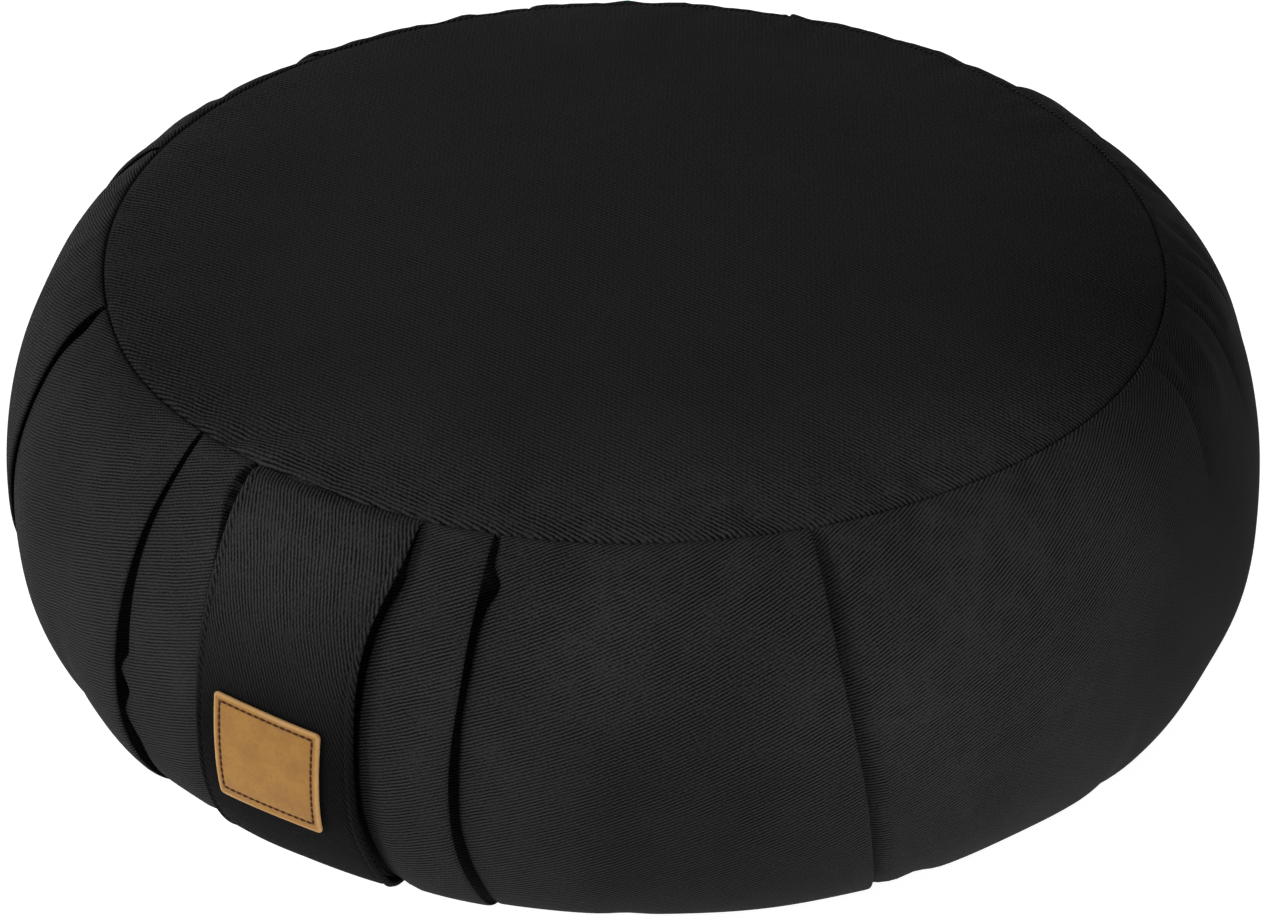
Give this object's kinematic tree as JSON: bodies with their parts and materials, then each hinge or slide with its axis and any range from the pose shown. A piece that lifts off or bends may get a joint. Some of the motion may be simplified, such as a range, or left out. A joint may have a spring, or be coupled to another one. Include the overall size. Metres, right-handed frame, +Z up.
{
  "type": "zafu meditation cushion",
  "caption": "Round floor cushion for seated meditation: crowned top, knife-pleated side band, flat base, a sewn-on carry strap and a small leather patch.",
  "frame": {"origin": "on the floor, on the cushion's upright axis, at the middle of its rest face", "axes": "+Z up out of the crowned top, -Y towards the front, where the plain stretch of the band lies right of the strap"},
  "size_m": [0.3994, 0.3981, 0.1333],
  "materials": {
    "twill": "matte cotton twill",
    "strap_twill": "matte cotton twill",
    "leather": "smooth tan leather, slightly worn at its edges"
  },
  "bodies": {
    "root": {"cushion": "twill", "carry_strap": "strap_twill", "leather_patch": "leather"}
  },
  "joints": []
}
